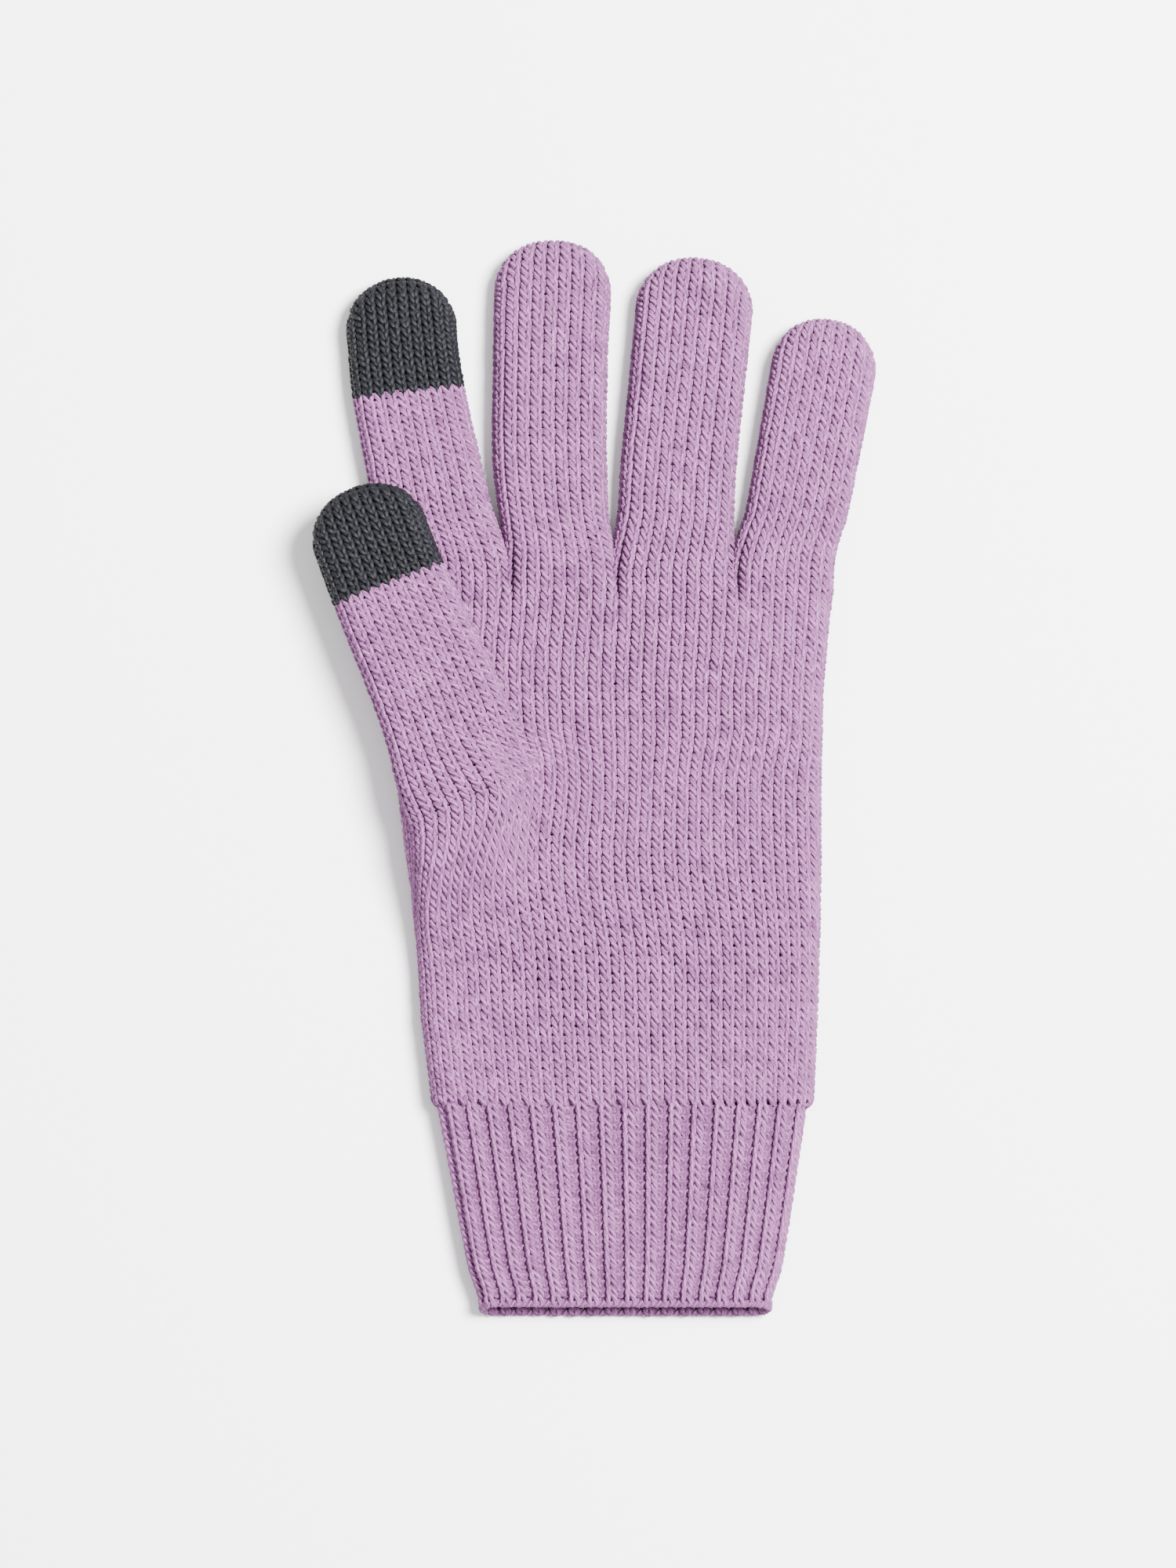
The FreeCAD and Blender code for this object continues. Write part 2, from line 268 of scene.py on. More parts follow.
def crowd_edges(share):
    """Stitches lie a little closer together towards a folded edge."""
    centred = 2.0 * share - 1.0
    return (1.0 + 1.10 * centred - 0.10 * centred ** 3) / 2.0


STEP = 0.25              # courses between the rings of a surface
RING_POINTS = 8          # ring points per wale


# ---- palm and cuff --------------------------------------------------------------------
TOP = box("palm_upper")[1][2]
MIDDLE_HEIGHT = TOP / 2.0
HALF_HEIGHT = MIDDLE_HEIGHT - FABRIC_INSET
CUFF_BOTTOM = box("cuff_edge")[0][1]
PALM_BOTTOM = box("palm_lower")[0][1]
PALM_SPLIT = box("palm_upper")[0][1]
WEB_LINE = box("palm_upper")[1][1]


def palm_sides(name, level):
    left, right = sides(name, (0.0, level), (0.0, 1.0), MIDDLE_HEIGHT - 1.5, MIDDLE_HEIGHT + 1.5)
    return left + FABRIC_INSET, right - FABRIC_INSET


def outline(name, low, high, count):
    """Left and right side of a palm or cuff node at evenly spaced levels."""
    levels = np.linspace(low + 0.05, high - 0.05, count)
    found = np.array([palm_sides(name, level) for level in levels])
    return levels, found[:, 0], found[:, 1]


HALF_WALES = PALM_WALES // 2
ALL_WALES = np.arange(PALM_WALES + 1)


def even_wales(front_length, back_length):
    """Lengths round the ring where the wales stand when nothing pulls them."""
    share = crowd_edges(np.arange(HALF_WALES + 1) / HALF_WALES)
    return np.concatenate([share * front_length, front_length + share[1:] * back_length])


def closed_ring(x_left, x_right, across, front_up, back_up, at_wales, level):
    """Ring points of a palm row from its curve over the front and round the back."""
    length = lengths(across, front_up)
    back_length = lengths(across, back_up)
    x = np.concatenate([x_left + across, x_right - across[1:]])
    z = np.concatenate([front_up, -back_up[1:]])
    run = np.concatenate([length, length[-1] + back_length[1:]])
    wale = np.arange(PALM_WALES * RING_POINTS) / RING_POINTS
    at = np.mod(np.interp(wale, ALL_WALES, at_wales), run[-1])
    return np.stack([np.interp(at, run, x), np.full_like(at, level), np.interp(at, run, z)], 1)


def cuff_surface():
    levels, left, right = outline("cuff_rib", box("cuff_rib")[0][1], PALM_BOTTOM, 30)
    bottom = CUFF_BOTTOM + 1.0
    rings = []
    for course in np.arange(0, CUFF_COURSES + STEP / 2, STEP):
        share = course / CUFF_COURSES
        level = bottom + (PALM_BOTTOM - bottom) * share
        x_left, x_right = np.interp(level, levels, left), np.interp(level, levels, right)
        across, up = rounded_half(x_right - x_left, HALF_HEIGHT, HALF_HEIGHT)
        total = lengths(across, up)[-1]
        ring = closed_ring(x_left, x_right, across, up, up, even_wales(total, total), level)
        side = np.clip(ring[:, 2] / HALF_HEIGHT, -1, 1)
        lift = CUFF_OPENING * (1.0 - smoothstep(share, 0.0, 0.5))
        ring[:, 1] += lift * (0.5 + 0.5 * side)
        ring[:, 2] += MIDDLE_HEIGHT
        ring[:, 2] += ripple(ring)
        rings.append(ring)
    return Surface(rings, PALM_WALES, STEP)


THUMB_PIVOT = joint_place("thumb_swing")
THUMB_TUBE_BOX = box("thumb_tube")
THUMB_LOW = THUMB_TUBE_BOX[0][2]
THUMB_TOP = THUMB_TUBE_BOX[1][2]
THUMB_MIDDLE_HEIGHT = (THUMB_LOW + THUMB_TOP) / 2.0


def thumb_base_line():
    """Left and right end of the line where the thumb leaves the palm."""
    points, _ = node_mesh("thumb_tube")
    return THUMB_PIVOT[:2], points[np.argmax(points[:, 0])][:2]


THUMB_LEFT, THUMB_RIGHT = thumb_base_line()
THUMB_BASE_WIDTH = float(np.linalg.norm(THUMB_RIGHT - THUMB_LEFT))


def base_line_offset(x):
    """How far the row where the thumb leaves lies from the straight split of the palm."""
    share = np.clip((x - THUMB_LEFT[0]) / (THUMB_RIGHT[0] - THUMB_LEFT[0]), -0.1, 1.0)
    line = THUMB_LEFT[1] + (THUMB_RIGHT[1] - THUMB_LEFT[1]) * share
    return (line - PALM_SPLIT) * (1.0 - smoothstep(x, THUMB_RIGHT[0], THUMB_RIGHT[0] + 16.0))


def tilt_rows(ring, amount):
    """Rows near the thumb run with the line where it leaves; those on the back stay level."""
    high = smoothstep(ring[:, 2], -HALF_HEIGHT, HALF_HEIGHT)
    ring[:, 1] += amount * base_line_offset(ring[:, 0]) * high


def lower_palm_surface():
    levels, left, right = outline("palm_lower", PALM_BOTTOM, PALM_SPLIT, 40)
    rise_full = THUMB_TOP - TOP
    rings = []
    for course in np.arange(0, LOWER_COURSES + STEP / 2, STEP):
        share = course / LOWER_COURSES
        eased = share - 0.014 * math.sin(2 * math.pi * share)
        level = PALM_BOTTOM + (PALM_SPLIT - PALM_BOTTOM) * eased
        x_left = np.interp(level, levels, left)
        x_right = np.interp(level, levels, right)
        width = x_right - x_left
        across, up = rounded_half(width, HALF_HEIGHT, HALF_HEIGHT)
        # the side towards the thumb rises to the thumb's height
        rise = rise_full * smoothstep(share, *THUMB_RISE)
        crotch = THUMB_RIGHT[0] - FABRIC_INSET - x_left
        foot = crotch + CROTCH_FOOT
        soft = THUMB_SLOPE + 12.0 * (1.0 - smoothstep(share, 0.5, 1.0))
        hump = rise * (1.0 - smoothstep(across, crotch - soft, foot + (soft - THUMB_SLOPE) * 0.5))
        inward = np.clip(1.0 - across / (HALF_HEIGHT + 0.25 * rise), 0.0, 1.0)
        tall = up + hump * np.sqrt(1.0 - inward ** 2)
        length = lengths(across, tall)
        back_length = lengths(across, up)[-1]
        total = length[-1] + back_length
        wall = np.interp(THUMB_WALL, across, length)
        pulled = np.interp(ALL_WALES, [0, CROTCH_WALE, HALF_WALES, WALL_WALE, PALM_WALES],
                           [wall, np.interp(foot, across, length), length[-1], total, total + wall])
        even = even_wales(length[-1], back_length)
        pull = smoothstep(share, *THUMB_PULL)
        ring = closed_ring(x_left, x_right, across, tall, up, even + (pulled - even) * pull, level)
        tilt_rows(ring, smoothstep(share, 0.10, 1.0))
        ring[:, 2] += MIDDLE_HEIGHT
        ring[:, 2] += ripple(ring)
        rings.append(ring)
    return Surface(rings, PALM_WALES, STEP)


FINGERS = ("index", "middle", "ring", "little")


def web_boundaries():
    """Where one finger ends and the next begins along the web line, from the left."""
    places = []
    for name in FINGERS:
        left, right = sides(name + "_root", (0.0, WEB_LINE + 0.3), (0.0, 1.0))
        places.append((left, right))
    edges = [places[0][0]]
    for first, second in zip(places, places[1:]):
        edges.append((first[1] + second[0]) / 2.0)
    edges.append(places[-1][1])
    return edges


WEB_EDGES = web_boundaries()
WEB_WALES = np.concatenate([[0], np.cumsum([FINGER_WALES[name][0] for name in FINGERS])])


def upper_palm_surface():
    levels, left, right = outline("palm_upper", PALM_SPLIT, WEB_LINE, 30)
    crotch_x = THUMB_RIGHT[0] - FABRIC_INSET + CROTCH_FOOT
    rings = []
    for course in np.arange(0, UPPER_COURSES + STEP / 2, STEP):
        share = course / UPPER_COURSES
        level = PALM_SPLIT + (WEB_LINE - PALM_SPLIT) * share
        x_left = np.interp(level, levels, left)
        x_right = np.interp(level, levels, right)
        width = x_right - x_left
        across, up = rounded_half(width, HALF_HEIGHT, HALF_HEIGHT)
        # grooves between the fingers start just below the web
        groove = smoothstep(level, WEB_LINE - WEB_GROOVE_LENGTH, WEB_LINE)
        dip = np.zeros_like(across)
        for place in WEB_EDGES[1:-1]:
            near = np.abs(across - (place - x_left))
            dip = np.maximum(dip, 1.0 - smoothstep(near, 0.0, WEB_GROOVE_REACH))
        length = lengths(across, up)
        total = 2 * length[-1]
        even = even_wales(length[-1], length[-1])
        at_crotch = np.interp(crotch_x - x_left, across, length)
        under = at_crotch * UNDER_THUMB
        low = np.interp(ALL_WALES, [0, CROTCH_WALE, HALF_WALES, WALL_WALE, PALM_WALES],
                        [under, at_crotch, length[-1], total, total + under])
        webs = np.interp(np.array(WEB_EDGES[1:-1]) - x_left, across, length)
        high = np.interp(ALL_WALES, np.concatenate([WEB_WALES, PALM_WALES - WEB_WALES[-2::-1]]),
                         [0.0, *webs, length[-1], *(total - webs[::-1]), total])
        at = even + (low - even) * (1.0 - smoothstep(share, 0.0, CROTCH_RELEASE))
        at = at + (high - even) * smoothstep(share, WEB_GATHER, 1.0)
        ring = closed_ring(x_left, x_right, across, up, up, at, level)
        groove_depth = np.interp(ring[:, 0] - x_left, across, groove * dip) * WEB_GROOVE_DEPTH
        ring[:, 2] *= 1.0 - groove_depth
        tilt_rows(ring, 1.0 - smoothstep(share, 0.0, 0.3))
        ring[:, 2] += MIDDLE_HEIGHT
        ring[:, 2] += ripple(ring)
        rings.append(ring)
    return Surface(rings, PALM_WALES, STEP)


LOWER_PALM = lower_palm_surface()
UPPER_PALM = upper_palm_surface()


def close_thumb_base():
    """Beside the thumb the upper palm starts on top of the lower palm's raised wall."""
    wale = np.arange(PALM_WALES * RING_POINTS) / RING_POINTS
    beside = smoothstep(wale, WALL_WALE - 12.0, WALL_WALE - 4.0) + 1.0 - smoothstep(wale, 0.0, 3.5)
    gap = (LOWER_PALM.rings[-1] - UPPER_PALM.rings[0]) * beside[:, None]
    for index, ring in enumerate(UPPER_PALM.rings):
        ring += gap * (1.0 - smoothstep(index * STEP, 0.0, WALL_COURSES))


close_thumb_base()


# ---- fingers and thumb ----------------------------------------------------------------
class CentreLine:
    """A smooth line through a few points, with a direction for the rows at each."""

    def __init__(self, points, row_sides):
        self.points = np.array(points, float)
        gaps = np.linalg.norm(np.diff(self.points, axis=0), axis=1)
        self.at = np.concatenate([[0.0], np.cumsum(gaps)])
        self.angles = np.unwrap([math.atan2(side[1], side[0]) for side in row_sides])
        self.slopes = np.gradient(self.points, self.at, axis=0)

    def place(self, distance):
        index = int(np.clip(np.searchsorted(self.at, distance) - 1, 0, len(self.at) - 2))
        span = self.at[index + 1] - self.at[index]
        t = (distance - self.at[index]) / span
        a, b = self.points[index], self.points[index + 1]
        ma, mb = self.slopes[index] * span, self.slopes[index + 1] * span
        spot = ((2 * t ** 3 - 3 * t ** 2 + 1) * a + (t ** 3 - 2 * t ** 2 + t) * ma
                + (-2 * t ** 3 + 3 * t ** 2) * b + (t ** 3 - t ** 2) * mb)
        angle = np.interp(distance, self.at, self.angles)
        return spot, np.array([math.cos(angle), math.sin(angle)])


def tube_ring(spot, side, half_width, half_height, middle_height, positions):
    """One closed ring of a finger: positions are shares of the way round from the left edge."""
    across, up = rounded_half(2 * half_width, HALF_HEIGHT, half_height, 90)
    length = lengths(across, up)
    total = length[-1]
    at = positions * 2.0 * total
    over = at <= total
    under_distance = 2 * half_width - np.interp(at - total, length, across)
    distance = np.where(over, np.interp(at, length, across), under_distance)
    height = np.where(over, np.interp(at, length, up), -np.interp(at - total, length, up))
    ring = np.zeros((len(positions), 3))
    ring[:, 0] = spot[0] + side[0] * (distance - half_width)
    ring[:, 1] = spot[1] + side[1] * (distance - half_width)
    ring[:, 2] = middle_height + height
    ring[:, 2] += ripple(ring)
    return ring


TIP_NOSE = 5.0           # the front and back of a tip close together over this length


def nose_height(distance, length):
    """Share of the full height left at a distance along a finger."""
    into = np.clip((distance - (length - TIP_NOSE)) / TIP_NOSE, 0.0, 0.999)
    return np.sqrt(1.0 - into ** 2)


def tip_distances(length, course):
    """Distances along the finger of its rows; they follow the curve over the end."""
    fine = np.linspace(0.0, length - 0.02, 4000)
    height = nose_height(fine, length) * HALF_HEIGHT
    travelled = np.concatenate([[0.0], np.cumsum(np.hypot(np.diff(fine), np.diff(height)))])
    count = int(round(travelled[-1] / course))
    steps = np.arange(0, count / STEP + 1) * STEP * travelled[-1] / count
    return np.interp(steps, travelled, fine), count


def held_back(distance, length, sideways):
    """How far the rounded outline holds a point back, at a share of the half width sideways."""
    start = length - 2.3 * TIP_ROUNDING
    into = np.clip((distance - start) / (length - start), 0.0, 1.0)
    outline = TIP_ROUNDING * (1.0 - np.sqrt(1.0 - np.clip(np.abs(sideways), 0.0, 1.0) ** 2.2))
    return outline * into ** 1.5


class Tube:
    """A finger or the thumb: its centre line, its surface and its number of rows."""

    def __init__(self, line, widths_at, widths, wales, course, middle_height, first_row):
        self.line = line
        self.length = line.at[-1] - FABRIC_INSET * 0.6
        distances, self.courses = tip_distances(self.length, course)
        self.distances = distances
        ring_points = wales * RING_POINTS
        shares = np.arange(ring_points) / ring_points
        rings = []
        for index, distance in enumerate(distances):
            spot, side = line.place(distance)
            half_width = np.interp(distance, widths_at, widths) / 2.0 - FABRIC_INSET
            half_height = max(HALF_HEIGHT * nose_height(distance, self.length), 0.25)
            ring = tube_ring(spot, side, half_width, half_height, middle_height, shares)
            sideways = ((ring[:, :2] - spot) @ side) / half_width
            way = np.array([-side[1], side[0]])
            ring[:, :2] -= way * held_back(distance, self.length, sideways)[:, None]
            if index == 0:
                first_way = np.array([*way, 0.0])
            own = smoothstep(index * STEP, 0.0, ROOT_COURSES)
            rings.append(ring * own + (first_row + first_way * distance) * (1.0 - own))
        self.surface = Surface(rings, wales, STEP)

    def row_at(self, distance):
        """The course nearest a distance along the finger."""
        return int(round(np.interp(distance, self.distances, np.arange(len(self.distances)) * STEP)))


def measured_widths(parts, line, starts, step=2.0):
    """Widths of a finger's nodes along its centre line."""
    at, widths = [], []
    for part, (low, high) in zip(parts, starts):
        for distance in np.arange(low + 0.8, high - 0.6, step):
            spot, side = line.place(distance)
            left, right = sides(part, spot, (-side[1], side[0]))
            at.append(distance)
            widths.append(right - left)
    return np.array(at), np.array(widths)


def make_finger(name):
    first = joint_place(name + "_first_fold")[:2]
    second = joint_place(name + "_second_fold")[:2]
    way_first = fold_direction(name + "_first_fold")
    way_second = fold_direction(name + "_second_fold")
    tip_node = name + ("_touch_tip" if name == "index" else "_tip")
    points, _ = node_mesh(tip_node)
    reach = ((points[:, :2] - second) @ way_second).max()
    end = second + way_second * reach
    number = FINGERS.index(name)
    left, right = WEB_EDGES[number], WEB_EDGES[number + 1]
    web = np.array([(left + right) / 2.0, WEB_LINE])
    row_sides = [(1.0, 0.0), (way_first[1], -way_first[0]), (way_second[1], -way_second[0]),
                 (way_second[1], -way_second[0])]
    line = CentreLine([web, first, second, end], row_sides)
    at, widths = measured_widths(
        [name + "_root", name + "_middle", tip_node], line,
        [(line.at[0], line.at[1]), (line.at[1], line.at[2]), (line.at[2], line.at[3] - TIP_ROUNDING)])
    at = np.concatenate([[0.0], at])
    widths = np.concatenate([[right - left], widths])
    first_row = finger_first_row(name, WEB_WALES[number], WEB_WALES[number + 1])
    wales = len(first_row) // RING_POINTS
    tube = Tube(line, at, widths, wales, FINGER_COURSE, MIDDLE_HEIGHT, first_row)
    return tube, first, second, way_first, way_second


def finger_first_row(name, wale_left, wale_right):
    """The ring of points a finger starts from: the palm's front and back wales at the web,
    with the wales of the crotches between them."""
    own, picked_left, picked_right = FINGER_WALES[name]
    front_end = picked_left + own
    back_start = front_end + 2 * picked_right
    knots = [picked_left, front_end, back_start, back_start + own]
    palm = [wale_left, wale_right, PALM_WALES - wale_right, PALM_WALES - wale_left]
    wales = 2 * (own + picked_left + picked_right)
    wale = np.arange(wales * RING_POINTS) / RING_POINTS
    on_palm = np.interp(wale, knots, palm)
    points = UPPER_PALM.point(on_palm, np.full_like(on_palm, UPPER_COURSES))
    if picked_right:
        bridge(points, wale, front_end, back_start)
    if picked_left:
        bridge(points, wale, back_start + own, wales + picked_left)
    return points


def bridge(points, wale, start, end):
    """Wales picked up in a crotch run straight from the front of the palm to its back."""
    count = len(wale)
    first = points[int(start * RING_POINTS) % count].copy()
    last = points[int(end * RING_POINTS) % count].copy()
    for step in range(1, int((end - start) * RING_POINTS)):
        share = step / ((end - start) * RING_POINTS)
        points[int(start * RING_POINTS + step) % count] = first + (last - first) * share


def make_thumb():
    fold = joint_place("thumb_fold")[:2]
    way = fold_direction("thumb_fold")
    points, _ = node_mesh("thumb_touch_tip")
    reach = ((points[:, :2] - fold) @ way).max()
    end = fold + way * reach
    base = (THUMB_LEFT + THUMB_RIGHT) / 2.0
    base_side = (THUMB_RIGHT - THUMB_LEFT) / THUMB_BASE_WIDTH
    base_way = np.array([-base_side[1], base_side[0]])
    middle = (base + fold) / 2.0 + np.array([way[1], -way[0]]) * 0.8
    middle_way = (fold - base) / np.linalg.norm(fold - base)
    row_sides = [base_side, (middle_way[1], -middle_way[0]), (way[1], -way[0]), (way[1], -way[0])]
    line = CentreLine([base, middle, fold, end], row_sides)
    at, widths = measured_widths(
        ["thumb_tube", "thumb_tube", "thumb_touch_tip"], line,
        [(line.at[0] + 1.0, line.at[1]), (line.at[1], line.at[2]), (line.at[2], line.at[3] - TIP_ROUNDING)])
    wale = np.arange(THUMB_WALES * RING_POINTS) / RING_POINTS
    half = THUMB_WALES // 2
    on_palm = np.interp(wale, [0, half], [0, CROTCH_WALE])
    first_row = LOWER_PALM.point(on_palm, np.full_like(on_palm, LOWER_COURSES))
    bridge(first_row, wale, half, THUMB_WALES)
    under = np.clip(1.0 - np.abs(wale - 1.5 * half) / (0.5 * half), 0.0, 1.0)
    first_row[:, 2] -= (first_row[:, 2] - THUMB_LOW - 1.2) * smoothstep(under, 0.0, 0.5)
    tube = Tube(line, at, widths, THUMB_WALES, THUMB_COURSE, THUMB_MIDDLE_HEIGHT, first_row)
    return tube, base, base_way, fold, way


# ---- yarn -----------------------------------------------------------------------------
class Yarn:
    """Collects lengths of yarn and turns them into one mesh."""

    def __init__(self):
        self.points = []
        self.faces = []
        self.ply = []
        self.tone_and_painted_shade = []
        self.count = 0

    def add(self, path, outward, radius, flat, tone_and_painted_shade, turn=PLY_TURN, relief=PLY_RELIEF):
        """Sweeps a plied section along a closed path; it lies flat against the outward direction."""
        count = len(path)
        ahead = np.roll(path, -1, axis=0) - np.roll(path, 1, axis=0)
        ahead /= np.linalg.norm(ahead, axis=1)[:, None] + 1e-9
        side = np.cross(ahead, outward)
        side /= np.linalg.norm(side, axis=1)[:, None] + 1e-9
        rise = np.cross(side, ahead)
        gaps = np.linalg.norm(np.diff(path, axis=0), axis=1)
        run = np.concatenate([[0.0], np.cumsum(gaps)])
        whole = run[-1] + np.linalg.norm(path[0] - path[-1])
        turns = max(1, round(whole / turn))
        twist = run / whole * turns * 2 * math.pi
        sides_count = 2 * PLIES
        corner = np.arange(sides_count)
        ridge = np.where(corner % 2 == 1, 1.0, -1.0)
        angle = corner[None, :] * 2 * math.pi / sides_count + twist[:, None]
        size = radius[:, None] * (1.0 + relief * ridge[None, :])
        wide = size * flat[:, None]
        ring = (path[:, None, :] + side[:, None, :] * (np.cos(angle) * wide)[:, :, None]
                + rise[:, None, :] * (np.sin(angle) * size)[:, :, None])
        self.points.append(ring.reshape(-1, 3))
        self.ply.append(np.tile((ridge + 1.0) / 2.0, count))
        self.tone_and_painted_shade.append(np.repeat(tone_and_painted_shade, sides_count))
        rows = np.arange(count)
        a = self.count + rows[:, None] * sides_count + corner[None, :]
        b = self.count + rows[:, None] * sides_count + (corner[None, :] + 1) % sides_count
        next_rows = (rows + 1) % count
        c = self.count + next_rows[:, None] * sides_count + (corner[None, :] + 1) % sides_count
        d = self.count + next_rows[:, None] * sides_count + corner[None, :]
        self.faces.append(np.stack([a, b, c, d], -1).reshape(-1, 4))
        self.count += count * sides_count

    def mesh(self, name, material):
        points = np.concatenate(self.points) * MM
        faces = np.concatenate(self.faces)
        mesh = bpy.data.meshes.new(name)
        mesh.vertices.add(len(points))
        mesh.vertices.foreach_set("co", points.astype(np.float32).ravel())
        mesh.loops.add(faces.size)
        mesh.loops.foreach_set("vertex_index", faces.astype(np.int32).ravel())
        mesh.polygons.add(len(faces))
        mesh.polygons.foreach_set("loop_start", np.arange(0, faces.size, 4, dtype=np.int32))
        mesh.polygons.foreach_set("loop_total", np.full(len(faces), 4, np.int32))
        mesh.update(calc_edges=True)
        mesh.polygons.foreach_set("use_smooth", np.ones(len(faces), bool))
        # this attribute holds each stitch's random tone together with painted shade on the loops' deep ends
        # and the rib's recesses
        for label, values in (("ply", self.ply), ("tone_and_painted_shade", self.tone_and_painted_shade)):
            attribute = mesh.attributes.new(label, "FLOAT", "POINT")
            attribute.data.foreach_set("value", np.concatenate(values).astype(np.float32))
        mesh.materials.append(material)
        mesh.validate()
        made = bpy.data.objects.new(name, mesh)
        bpy.context.collection.objects.link(made)
        return made


def stitch_noise(random, count):
    """One small random difference for each stitch of a row."""
    return random.normal(0.0, 1.0, count)


def knit_row(yarn, surface, course, random, steps=STEPS_PER_STITCH, radius=YARN_RADIUS, **ply):
    """One row of knit loops; their feet point to the fingertips, as the glove was knitted downwards."""
    wales = surface.wales
    count = wales * steps
    t = np.arange(count) * 2 * math.pi / steps
    stitch = np.floor(t / (2 * math.pi) + 0.5).astype(int) % wales
    shift_u = VARY_ACROSS * stitch_noise(random, wales)[stitch]
    shift_v = VARY_ALONG * stitch_noise(random, wales)[stitch]
    size = 1.0 + VARY_SIZE * stitch_noise(random, wales)[stitch]
    wave = -np.cos(t) * LOOP_REACH * size
    across = (t + LOOP_BULGE * np.sin(2 * t) + LOOP_GATHER * np.sin(t)) / (2 * math.pi)
    across = across + shift_u * np.abs(np.cos(t / 2)) - LOOP_LEAN * wave
    along = course + wave + shift_v * np.abs(np.cos(t / 2))
    here, outward = surface.place(across + 0.5, along)
    leg = np.abs(np.sin(t))
    level = -LOOP_DEPTH * np.cos(2 * t) + VARY_LEVEL * stitch_noise(random, wales)[stitch] * leg
    path = here + outward * level[:, None]
    thick = radius * (LOOP_END_THICKNESS + LEG_SWELLS * leg)
    thick = thick * (1.0 + VARY_THICKNESS * stitch_noise(random, wales)[stitch])
    flat = 1.0 + LEG_FLATTENS * leg
    # each stitch's tone differs at random; painted shade darkens the deep ends of each loop
    tone_and_painted_shade = MIDDLE_TONE + VARY_TONE * stitch_noise(random, wales)[stitch] - LOOP_END_PAINTED_SHADE * (1.0 - leg)
    tone_and_painted_shade = np.clip(tone_and_painted_shade, 0, 1)
    yarn.add(path, outward, thick, flat, tone_and_painted_shade, **ply)


def rib_row(yarn, surface, course, random):
    """One row of a one-by-one rib: knit columns stand proud, purl columns lie back."""
    wales = surface.wales
    count = wales * RIB_STEPS
    t = np.arange(count) * 2 * math.pi / RIB_STEPS
    stitch = np.floor(t / (2 * math.pi) + 0.5).astype(int) % wales
    face = np.cos(t / 2)
    sharp = np.tanh(COLUMN_EDGE * face) / math.tanh(COLUMN_EDGE)
    wave = -np.cos(t) * RIB_REACH * (1.0 + RIB_VARIES * stitch_noise(random, wales)[stitch])
    across = (t + RIB_BULGE * np.sin(2 * t)) / (2 * math.pi)
    across = across - RIB_LEAN * wave * (0.5 + 0.5 * sharp)
    across = across + RIB_CROWD * np.sin(math.pi * across)
    along = course + wave + RIB_VARIES * stitch_noise(random, wales)[stitch]
    here, outward = surface.place(across + 0.5, along)
    leg = np.abs(np.sin(t))
    relief = RIB_RELIEF * (0.35 + 0.65 * np.abs(outward[:, 2]))
    level = -RIB_DEPTH * np.cos(2 * t) * sharp + relief * face - RIB_SETBACK
    path = here + outward * level[:, None]
    recess = smoothstep(-face, -0.2, 0.8)
    thick = RIB_RADIUS * (0.94 + 0.08 * leg + PURL_SWELL * recess)
    # each stitch's tone differs at random; painted shade darkens the deep ends of each loop and the recessed
    # purl columns
    tone_and_painted_shade = MIDDLE_TONE + VARY_TONE * stitch_noise(random, wales)[stitch] - LOOP_END_PAINTED_SHADE * (1.0 - leg)
    tone_and_painted_shade = np.clip(tone_and_painted_shade - PURL_PAINTED_SHADE * recess, 0, 1)
    yarn.add(path, outward, thick, 1.0 + 0.15 * leg, tone_and_painted_shade)


